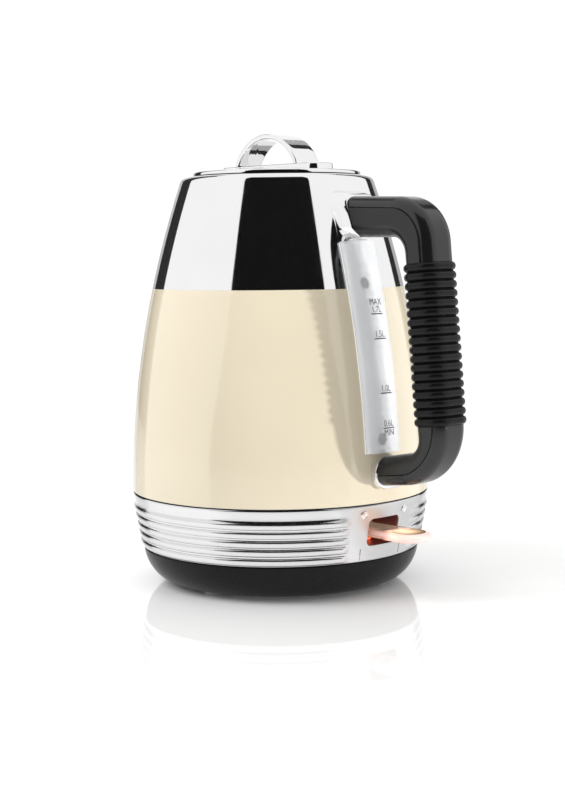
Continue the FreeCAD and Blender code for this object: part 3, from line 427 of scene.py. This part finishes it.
def bead(z, theta):
    """How far the band's rolled ribs stand proud, theta degrees round.  They fade out beside the switch."""
    fade = (abs(theta) - 15.6) / 3.2
    fade = max(0.0, min(1.0, fade))
    fade = fade * fade * (3 - 2 * fade)
    half_width, height = 1.95, 1.05
    for middle in (23.6, 28.6, 33.4, 38.3, 43.1):
        off = (z - middle) / half_width
        if abs(off) < 1:
            return fade * height * math.sqrt(1 - off * off)
    return 0.0


def make_band():
    """The ribbed band with the switch opening and two fine joints below it, and the two caps above it."""
    def turned(r, z, a):
        return r * math.cos(math.radians(a)), r * math.sin(math.radians(a)), z
    heights = [BAND_LOW, 21.4]
    z = 21.65
    while z < 45.1:
        heights.append(z)
        z += 0.24
    heights += [46.5, 48.0, 49.5, 51.0, 51.4, BAND_HIGH]
    angles = []
    theta = -180.0
    while theta < 180.0 - 1e-6:
        angles.append(theta)
        theta += 0.5 if abs(theta) < 22 else 1.5
    rings = []
    for z in heights:
        edge = 0.35 if z in (BAND_LOW, BAND_HIGH) else 0.1 if z in (21.4, 51.4) else 0.0
        rings.append([turned(band_r(z) + bead(z, a) - edge, z, a) for a in angles])
    for r, z in ((81.3, BAND_HIGH), (81.3, 50.7), (82.0, 50.7), (band_r(22.1) - 1.0, 22.1), (76.0, 22.1),
                 (76.0, BAND_LOW)):
        rings.append([turned(r, z, a) for a in angles])
    verts, faces = skin(rings, wrap=True)
    band = piece("ribbed_band", verts, faces, "kettle", "band_chrome", ("chrome_band",), 40)
    gap = rounded([(-11.5, 29.2, 3.2), (11.5, 29.2, 3.2), (11.5, 44.2, 3.2), (-11.5, 44.2, 3.2)], 8)
    seams = []
    for side in (-1, 1):
        turn = Matrix.Rotation(math.radians(side * 10.9), 4, "Z")
        rings = []
        for x in (band_r(22) - 0.35, 90.0):
            rings.append([tuple(turn @ Vector((x, y, z))) for y, z in
                          ((-0.22, 22.4), (0.22, 22.4), (0.22, 28.2), (-0.22, 28.2))])
        seams.append(tool(rings))
    carve(band, bar_x(gap, 70, 95), *seams, sharp=40)
    for side in (-1, 1):
        swing = Matrix.Rotation(math.radians(side * 10.65), 4, "Z")
        turn = swing @ Matrix.Rotation(math.radians(10.1), 4, "Y")
        base = swing @ Vector((band_r(46.9) - 0.6, 0, 46.9))
        rings = []
        for out, r in ((0.0, 2.25), (0.75, 2.25), (1.0, 2.1), (1.15, 1.75), (1.0, 1.35), (0.8, 0.8),
                       (0.75, 0.05)):
            rings.append([tuple(base + turn @ Vector((out, r * math.cos(t), r * math.sin(t))))
                          for t in [2 * math.pi * k / 40 for k in range(40)]])
        verts, faces = skin(rings, close_ends=True)
        piece("band_cap_%s" % ("left" if side < 0 else "right"), verts, faces, "kettle", "cap_chrome",
              ("band_caps",), 50)


# ------------------------------------------------------------------ power base
def base_side(steps):
    """The base's rounded side, a quarter of a flattened ellipse, as (radius, z) points."""
    out = []
    power = 2 / 1.735
    for s in range(steps + 1):
        turn = math.pi / 2 * s / steps
        out.append((63.7 + 14.0 * math.sin(turn) ** power,
                    2.4 + 18.4 * (1 - max(math.cos(turn), 0.0) ** power)))
    return out


def make_base():
    """The black power base, with the hole for the cord's gland."""
    outline = [(61.3, 2.4)] + base_side(28)[:-1]
    outline += rounded([(77.6, 19.4, 0), (77.7, 20.8, 0.7), (75.2, 20.8, 0.5), (74.4, 18.0, 0.8),
                        (18.3, 18.0, 0)])[1:]
    outline += [(18.3, 15.8), (75.0, 15.8), (70.4, 8.9), (61.3, 4.8)]
    shell = lathe("base_dish", outline, "power_base", "base_black", ("base_shell",))
    carve(shell, tool([[(x, y, z) for y, z in disc(0, 9.6, 5.0)] for x in (-90, -50)]))


# ------------------------------------------------------------------ lid
def make_lid():
    """The lid's top with its plate and strap, and the black ring in the neck."""
    def dome(rim, rim_z, top_z, steps):
        rise = top_z - rim_z
        arc = (rim * rim + rise * rise) / (2 * rise)
        return [(rim * (1 - s / steps), top_z - arc + math.sqrt(arc * arc - (rim * (1 - s / steps)) ** 2))
                for s in range(steps + 1)]
    outline = [(45.2, 226.8), (46.5, 226.8), (46.8, 227.1), (46.8, 228.0), (46.65, 228.5), (46.3, 228.85)]
    outline += dome(45.9, 229.0, 231.4, 16)[:-1] + [(0.02, 231.4), (0.02, 230.4)]
    outline += dome(45.2, 228.0, 230.4, 12)[-2::-1]
    lathe("lid_top", outline, "lid", "lid_steel", ("lid_cover",))
    ring = rounded([(47.3, 213.5, 0), (48.5, 213.5, 0), (48.5, 225.6, 0.2), (48.3, 225.9, 0.1),
                    (47.3, 225.9, 0.4)])
    lathe("neck_ring", ring, "kettle", "rim_black", ("rim_ring",))

    flat = dense(rounded([(-38.5, -9, 5.5), (38.5, -9, 5.5), (38.5, 9, 5.5), (-38.5, 9, 5.5)], 10), 4.0)

    arc = (45.9 ** 2 + 2.4 ** 2) / 4.8

    def on_dome(x, y):
        return 231.38 - arc + math.sqrt(arc * arc - x * x - y * y)

    def drawn_in(by, z):
        return [(x - by * (1 if x > 0 else -1) * min(1.0, abs(x) / 8.0),
                 y - by * (1 if y > 0 else -1) * min(1.0, abs(y) / 4.0), z) for x, y in flat]
    rings = [[(x, y, on_dome(x, y)) for x, y in flat]]
    rings += [drawn_in(by, z) for by, z in ((0.0, 232.0), (0.12, 232.4), (0.4, 232.68), (0.8, 232.8))]
    verts, faces = skin(rings, close_ends=True)
    piece("strap_plate", verts, faces, "lid", "grip_plate_chrome", ("lid_grip_plate",))

    section = dense(rounded([(-8.75, -1.25, 0.7), (8.75, -1.25, 0.7), (8.75, 1.25, 0.7), (-8.75, 1.25, 0.7)],
                            5), 3.0)
    strap_r, strap_z, foot_z = 26.25, 222.2, 232.75
    rings = []
    start = math.asin(10.9 / strap_r)
    for s in range(65):
        turn = start + (math.pi - 2 * start) * s / 64
        rings.append([((strap_r + d) * math.cos(turn), y, strap_z + (strap_r + d) * math.sin(turn))
                      for y, d in section])
    for end in (0, -1):
        rings[end] = [(x, y, foot_z) for x, y, _ in rings[end]]
    verts, faces = skin(rings, close_ends=True)
    piece("strap_arch", verts, faces, "lid", "strap_chrome", ("lid_strap",), 40)


# ------------------------------------------------------------------ handle
# (x, z, corner radius) along the handle's outer and inner faces, from the top root down
OUT_PATH = [(50.0, 214.3, 0), (119.8, 212.0, 25.0), (133.0, 67.4, 31.0), (74.0, 60.3, 0)]
IN_PATH = [(50.0, 192.0, 0), (102.6, 192.0, 10.0), (112.8, 82.4, 8.0), (74.0, 75.0, 0)]


def sampled(path, legs):
    """Points along an open rounded path: straight runs and bends each get a fixed number of steps."""
    out = []
    spots = []
    for i, (x, z, r) in enumerate(path):
        if r:
            spots.append(bend(path[i - 1][:2], (x, z), path[i + 1][:2], r))
        else:
            here = Vector((x, z))
            spots.append((here, here, None))
    for i, (start, end, centre) in enumerate(spots):
        if centre is not None:
            a0, a1 = start - centre, end - centre
            sweep = a0.angle(a1)
            for s in range(legs[1]):
                turn = -sweep * s / legs[1]
                c, d = math.cos(turn), math.sin(turn)
                out.append(centre + Vector((a0.x * c - a0.y * d, a0.x * d + a0.y * c)))
        if i + 1 < len(spots):
            away = spots[i + 1][0]
            for s in range(legs[0]):
                out.append(end + (away - end) * s / legs[0])
    out.append(spots[-1][1])
    return out


def make_handle():
    """Two half shells swept round the handle, parted by a fine groove down each side."""
    legs = (14, 26)
    shells = {"handle_back": [], "handle_front": []}
    for a, b in zip(sampled(OUT_PATH, legs), sampled(IN_PATH, legs)):
        across = b - a
        thick = across.length
        way = across / thick
        r = min(HANDLE_CORNER, thick / 2 - 0.3)
        loop = dense(rounded([(0, -HANDLE_HALF, r), (thick, -HANDLE_HALF, r), (thick, HANDLE_HALF, r),
                              (0, HANDLE_HALF, r)], 9), 2.2)
        back = [p for p in loop if p[0] < SEAM - 0.2]
        front = [p for p in loop if p[0] > SEAM + 0.2]
        for name, side, points in (("handle_back", -1, back), ("handle_front", 1, front)):
            points.sort(key=lambda p: math.atan2(p[1], (p[0] - SEAM) * side))
            edge, lead = SEAM + side * 0.18, side * 0.35
            y0, y1 = math.copysign(HANDLE_HALF, points[0][1]), math.copysign(HANDLE_HALF, points[-1][1])
            full = [(edge, y0 * 0.86), (edge, y0 * 0.985), (edge + lead, y0)] + points
            full += [(edge + lead, y1), (edge, y1 * 0.985), (edge, y1 * 0.86)]
            shells[name].append([(a.x + way.x * d, y, a.y + way.y * d) for d, y in full])
    for name, node, slot in (("handle_back", "handle_outer_shell", "handle_outer_black"),
                             ("handle_front", "handle_inner_shell", "handle_inner_black")):
        # each ring gets the same number of points, and keeps the three that draw the groove at each end
        rings = [ring[:3] + spread_out(ring[3:-3], 66) + ring[-3:] for ring in shells[name]]
        verts, faces = skin(rings, close_ends=True)
        trim_to_body(piece(name, verts, faces, "kettle", slot, (node,), 50))


def trim_to_body(obj):
    """Cuts the handle back to just inside the faces of its two roots."""
    rings = []
    for k in range(64):
        z = 40 + k * 3.0
        proud = COLLAR_PROUD if z > 135 else RING_PROUD
        rings.append(circle(body_r(z) + (proud - 0.05), z, 160))
    carve(obj, tool(rings), sharp=50, folds=True)


def make_grip():
    """The rubber sleeve with its 18 round ribs, leaning with the handle."""
    lean = Matrix.Translation((117.15, 0, 137.3)) @ Matrix.Rotation(math.radians(-5.25), 4, "Y")
    pitch, half, ribs, rib_high = 4.62, 41.6, 18, 1.5

    def ring(grow, z):
        r = max(HANDLE_CORNER + grow, 1.0)
        a, b = 9.43 + grow, HANDLE_HALF + grow
        corners = rounded([(-a, -b, r), (a, -b, r), (a, b, r), (-a, b, r)], 8)
        return [tuple(lean @ Vector((x, y, z))) for x, y in even(corners, 4)]
    rings = [ring(-0.9, -half), ring(0.0, -half), ring(0.35, -half + 0.25)]
    steps = ribs * 14
    for s in range(steps + 1):
        z = -ribs // 2 * pitch + ribs * pitch * s / steps
        phase = (z / pitch) % 1.0
        off = (phase - 0.5) / 0.44
        grow = 0.15 + (rib_high * math.sqrt(1 - off * off) if abs(off) < 1 else 0.0)
        if abs(z) < half - 0.3:
            rings.append(ring(grow, z))
    rings += [ring(0.35, half - 0.25), ring(0.0, half), ring(-0.9, half)]
    verts, faces = skin(rings, close_ends=True)
    piece("grip_ribs", verts, faces, "kettle", "grip_rubber", ("grip_sleeve",), 60)


def on_body(y, z, out):
    """A point `out` mm off the body's surface at sideways place y and height z."""
    r = body_r(z)
    x = math.sqrt(max(r * r - y * y, 1.0))
    slope = (z - BODY_MID) / math.sqrt(BODY_ARC ** 2 - (z - BODY_MID) ** 2)
    normal = Vector((x / r, y / r, slope)).normalized()
    return (x + normal.x * out, y + normal.y * out, z + normal.z * out)


def make_mounts():
    """The bright roots that carry the handle: each runs from a foot on the body to the handle's end.

    foot and neck are its (y, z, corner) outlines in the planes x = foot_x and neck_x."""
    foot_x, neck_x = 50.0, 73.0
    ring_outline = [(-11.6, 60.2, 6.5), (11.6, 60.2, 6.5), (11.6, 75.8, 6.5), (-11.6, 75.8, 6.5)]
    for name, node, slot, foot, neck, proud in (
            ("collar_upper", "upper_collar", "collar_chrome",
             [(-13.9, 190.0, 6.5), (13.9, 190.0, 6.5), (18.9, 218.4, 9.0), (-18.9, 218.4, 9.0)],
             [(-11.4, 191.6, 6.5), (11.4, 191.6, 6.5), (9.5, 212.9, 5.0), (-9.5, 212.9, 5.0)],
             COLLAR_PROUD),
            ("collar_lower", "lower_ring", "ring_chrome", ring_outline, ring_outline, RING_PROUD)):
        low, high = even(rounded(foot, 12), 4), even(rounded(neck, 12), 4)
        middle = ((foot[0][1] + foot[2][1]) / 2, (neck[0][1] + neck[2][1]) / 2)

        def meets(a, b, out):
            """Where the edge line from a to b stands `out` off the body."""
            near, far = 40.0, 100.0
            for _ in range(40):
                x = (near + far) / 2
                f = (x - foot_x) / (neck_x - foot_x)
                y, z = a[0] + (b[0] - a[0]) * f, a[1] + (b[1] - a[1]) * f
                if math.hypot(x, y) < body_r(z) + out:
                    near = x
                else:
                    far = x
            return x, y, z
        rings = []
        for shrink, out in ((0.0, -0.3), (0.0, proud * 0.3), (0.0, proud * 0.6), (0.0, proud - 0.8),
                            (0.1, proud - 0.4), (0.3, proud - 0.12), (0.6, proud), (2.0, proud)):
            ring = []
            for a, b in zip(low, high):
                x, y, z = meets(a, b, out)
                cz = middle[0] + (middle[1] - middle[0]) * (x - foot_x) / (neck_x - foot_x)
                reach = math.hypot(y, z - cz)
                f = (reach - shrink) / reach
                ring.append((x, y * f, cz + (z - cz) * f))
            rings.append(ring)
        verts, faces = skin(rings, close_ends=True)
        piece(name, verts, faces, "kettle", slot, (node,), 45)


# ------------------------------------------------------------------ gauge
def make_gauge():
    """The clear lens of the water gauge, with its capacity lines and figures."""
    def section(half, rise, low):
        """Outline of the lens across its width: side wall, rounded shoulder, shallow arch."""
        out = [(-half, low), (-half, rise - 2.6), (-half + 0.25, rise - 1.75), (-half + 0.9, rise - 1.05)]
        for k in range(1, 16):
            y = (-half + 0.9) + (2 * half - 1.8) * k / 16
            out.append((y, rise - 1.05 + 1.05 * (1 - (y / (half - 0.9)) ** 2)))
        out += [(half - 0.9, rise - 1.05), (half - 0.25, rise - 1.75), (half, rise - 2.6), (half, low)]
        return out
    outer, inner = section(12.0, GAUGE_RISE, 0.5), section(10.3, GAUGE_RISE - 1.5, 0.5)
    ring_2d = outer + inner[::-1]
    wall, steps = 1.6, 60
    rings = []
    for s in range(steps + 1):
        z = GAUGE_LOW + wall + (GAUGE_HIGH - GAUGE_LOW - 2 * wall) * s / steps
        rings.append([on_body(y + GAUGE_Y, z, out) for y, out in ring_2d])
    verts, faces = skin(rings)
    count = len(outer)
    n = len(ring_2d)
    # the wall across each end
    for end, z in ((0, GAUGE_LOW), (steps, GAUGE_HIGH)):
        base = len(verts)
        verts += [on_body(y + GAUGE_Y, z, out) for y, out in outer]
        first = end * n
        for k in range(count - 1):
            faces.append((first + k, first + k + 1, base + k + 1, base + k))
        faces.append(tuple(base + k for k in range(count)))
        faces.append(tuple(first + count + k for k in range(count)))
        faces.append((first + count - 1, first + count, base + count - 1))
        faces.append((first, first + n - 1, base))
        faces.append((first + count, first + n - 1, base, base + count - 1))
    piece("gauge_lens", verts, faces, "kettle", "gauge_clear", ("gauge_window",), 40)

    middle, face = GAUGE_Y + 1.7, GAUGE_RISE + 0.03
    for z, lines in ((151.2, (("1.7L", 0.9), ("MAX", 4.7))), (138.3, (("1.5L", 0.9),)),
                     (110.0, (("1.0L", 0.9),)), (91.8, (("0.6L", 0.9), ("MIN", -3.9)))):
        ring_a, ring_b = [], []
        for k in range(9):
            y = middle - 3.9 + 7.8 * k / 8
            ring_a.append(on_body(y, z - 0.28, face))
            ring_b.append(on_body(y, z + 0.28, face))
        verts, faces = skin([ring_a, ring_b], loop=False)
        piece("mark_line", verts, faces, "kettle", "gauge_clear", look=LOOKS["print_grey"])
        for words, up in lines:
            text = bpy.data.curves.new("mark_text", "FONT")
            text.body = words
            text.size = 4.7
            text.offset = 0.004
            text.align_x = "CENTER"
            holder = add("mark_text", text)
            bpy.context.view_layer.update()
            seen = holder.evaluated_get(bpy.context.evaluated_depsgraph_get())
            shape = bpy.data.meshes.new_from_object(seen)
            bpy.data.objects.remove(holder)
            verts = [on_body(middle + v.co.x * 0.82, z + up + v.co.y, face) for v in shape.vertices]
            faces = [tuple(p.vertices) for p in shape.polygons]
            piece("mark_text", verts, faces, "kettle", "gauge_clear", look=LOOKS["print_grey"])


# ------------------------------------------------------------------ switch lever
def make_lever():
    """The clear lever: a stem that widens to a round paddle, with soft edges."""
    turns = [math.radians(-136 + 272 * k / 44) for k in range(45)]
    outline = rounded([(34, -4, 1.5), (59, -4, 3), (63, -7, 3), (91.0, -7, 1.5)], 5)
    outline += [(98.8 + 11.5 * math.cos(t), 11.5 * math.sin(t)) for t in turns]
    outline += rounded([(91.0, 7, 1.5), (63, 7, 3), (59, 4, 3), (34, 4, 1.5)], 5)
    outline = dense(outline, 3.0)

    def level(shrink, z):
        ring = []
        n = len(outline)
        for k, (x, y) in enumerate(outline):
            px, py = outline[k - 1]
            qx, qy = outline[(k + 1) % n]
            run = Vector((qx - px, qy - py)).normalized()
            ring.append((x - run.y * shrink, y + run.x * shrink, z))
        return ring
    edge = ((0.0, 0.35), (0.2, 1.1), (0.6, 1.7), (1.2, 2.05), (1.9, 2.24), (2.6, 2.3))
    rings = [level(shrink, LEVER_Z - up) for shrink, up in reversed(edge)]
    rings += [level(shrink, LEVER_Z + up) for shrink, up in edge]
    verts, faces = skin(rings, close_ends=True)
    piece("lever_paddle", verts, faces, "switch_lever", "lever_clear", ("switch_lever",), 50)


# ------------------------------------------------------------------ spout
def make_spout():
    """The open pouring beak."""
    def plan(z, inset):
        """Outline of the beak at height z: nearly straight flanks from the body and a round tip."""
        f = (z - 178.0) / 43.0
        root_x = 46.0
        wide, tip_y = 13.0 + 9.0 * f - inset, 3.0 + 2.0 * f - inset * 0.6
        flank_x, tip_x = 65.3 + 7.0 * f - inset, 66.6 + 8.7 * f - inset
        points = []
        for k in range(41):
            u = k / 40
            bow = 0.9 * f * math.sin(math.pi * u)
            points.append((root_x + (flank_x - root_x) * u, wide + (tip_y - wide) * u - bow))
        for k in range(1, 13):
            turn = math.pi / 2 * k / 12
            points.append((flank_x + (tip_x - flank_x) * math.sin(turn), tip_y * math.cos(turn)))
        out = spread_out([p for p in points if math.hypot(*p) >= body_r(z) - 0.4], 28)
        left = [(-x, y, z) for x, y in out]
        right = [(-x, -y, z) for x, y in reversed(out[:-1])]
        return left + right
    low = 181.0
    heights = [low + (SPOUT_TOP - low) * k / 40 for k in range(41)]
    outer = [plan(z, 0.0) for z in heights]
    inner = [plan(z, 1.2) for z in heights[2:]]
    lip = [[(x, y, SPOUT_TOP + 0.25) for x, y, _ in plan(SPOUT_TOP, inset)] for inset in (0.3, 0.9)]
    rings = outer + lip + inner[::-1]
    verts, faces = skin(rings, loop=False)
    piece("spout_beak", verts, faces, "kettle", "spout_steel", ("spout",), 50)


for build in (make_body, make_band, make_base, make_lid, make_handle, make_grip, make_mounts, make_gauge,
              make_lever, make_spout):
    build()

# the CAD nodes that still show keep their shape and take the same looks
slots = {part["node"]: part["material_slot"] for part in frame["record"]["subparts"]}
for node, obj in nodes.items():
    obj.data.materials.clear()
    obj.data.materials.append(LOOKS[slots[node]])
    obj.data.shade_smooth()
    obj.data.set_sharp_from_angle(angle=math.radians(28))


# ------------------------------------------------------------------ studio
def around(angle, distance, height):
    """A place given by its angle to the right of the viewer, seen from the kettle."""
    turn = math.radians(-42.9 + angle)
    return (distance * math.cos(turn), distance * math.sin(turn), height)


def curtain(name, distance, widths, angle, grey=0.002):
    """A curtain standing round the kettle, which only reflections see.

    widths gives half its width in degrees at each height."""
    rings = []
    for height, half in widths:
        rings.append([around(angle + half * (k / 12 - 1), distance, height) for k in range(25)])
    verts, faces = skin(rings, loop=False)
    mesh = bpy.data.meshes.new(name)
    mesh.from_pydata(verts, [], faces)
    obj = add(name, mesh)
    mesh.materials.append(material(name, (grey, grey, grey), 0.0, 0.9, grain=(60, 0.01), shine=0.15))
    obj.visible_camera = False
    obj.visible_diffuse = False
    obj.visible_shadow = False


def make_light(name, energy, place, sides):
    """A soft light turned toward the kettle, which reflections don't see."""
    data = bpy.data.lights.new(name, "AREA")
    data.energy = energy
    if len(sides) == 2:
        data.shape = "RECTANGLE"
        data.size_y = sides[1]
    data.size = sides[0]
    lamp = add(name, data)
    lamp.visible_glossy = False
    lamp.location = place
    lamp.rotation_euler = (lamp.location - Vector((0, 0, 0.12))).to_track_quat("Z", "Y").to_euler()


def make_studio():
    """Pale floor, white surroundings, the curtains that the chrome reflects, and two lights."""
    floor = material("Floor", (0.87, 0.87, 0.87), 0.0, 0.04, grain=(30, 0.001), smudge=0.02, tint=0.004,
                     glow=((1.0, 1.0, 1.0), 0.02))
    mesh = bpy.data.meshes.new("floor")
    mesh.from_pydata([(-6, -6, 0), (6, -6, 0), (6, 6, 0), (-6, 6, 0)], [], [(0, 1, 2, 3)])
    ground = add("floor", mesh)
    mesh.materials.append(floor)
    world = bpy.data.worlds.new("studio")
    bpy.context.scene.world = world
    world.use_nodes = True
    backdrop = world.node_tree.nodes["Background"]
    backdrop.inputs["Color"].default_value = (1.0, 1.0, 1.0, 1.0)
    backdrop.inputs["Strength"].default_value = 1.03
    top = 2.2
    curtain("black_curtain", 1.45, ((0.0, 54), (0.12, 52), (0.5, 43.5), (0.9, 42), (1.6, 41), (top, 40)), 0.0)
    for name, distance, half, angle, grey in (("left_strip", 1.6, 12, -137.5, 0.02),
                                              ("right_strip", 1.6, 7, 140, 0.02),
                                              ("left_grey", 1.62, 7, -156.5, 0.42),
                                              ("right_grey", 1.62, 8.5, 155.5, 0.36)):
        curtain(name, distance, ((0.0, half), (top, half)), angle, grey)
    make_light("side", 18, around(63, 1.6, 0.12), (0.05,))
    make_light("key", 20, around(-70, 1.3, 1.3), (0.9, 1.4))


def make_camera():
    """The camera at the photograph's angle."""
    azimuth, pitch, roll = math.radians(47.1), 0.0974, 0.0113
    away = Vector((math.sin(azimuth), -math.cos(azimuth), 0))
    right = Vector((math.cos(azimuth), math.sin(azimuth), 0))
    data = bpy.data.cameras.new("camera")
    data.lens = 70.9
    camera = add("camera", data)
    forward = (-away * math.cos(pitch) + Vector((0, 0, -math.sin(pitch)))).normalized()
    turn = forward.to_track_quat("-Z", "Y").to_matrix().to_4x4()
    place = away * 0.8874 + right * 0.00176 + Vector((0, 0, 0.188))
    camera.matrix_world = Matrix.Translation(place) @ turn @ Matrix.Rotation(-roll, 4, "Z")
    bpy.context.scene.camera = camera


make_studio()
make_camera()
bpy.context.scene.view_settings.view_transform = "Standard"
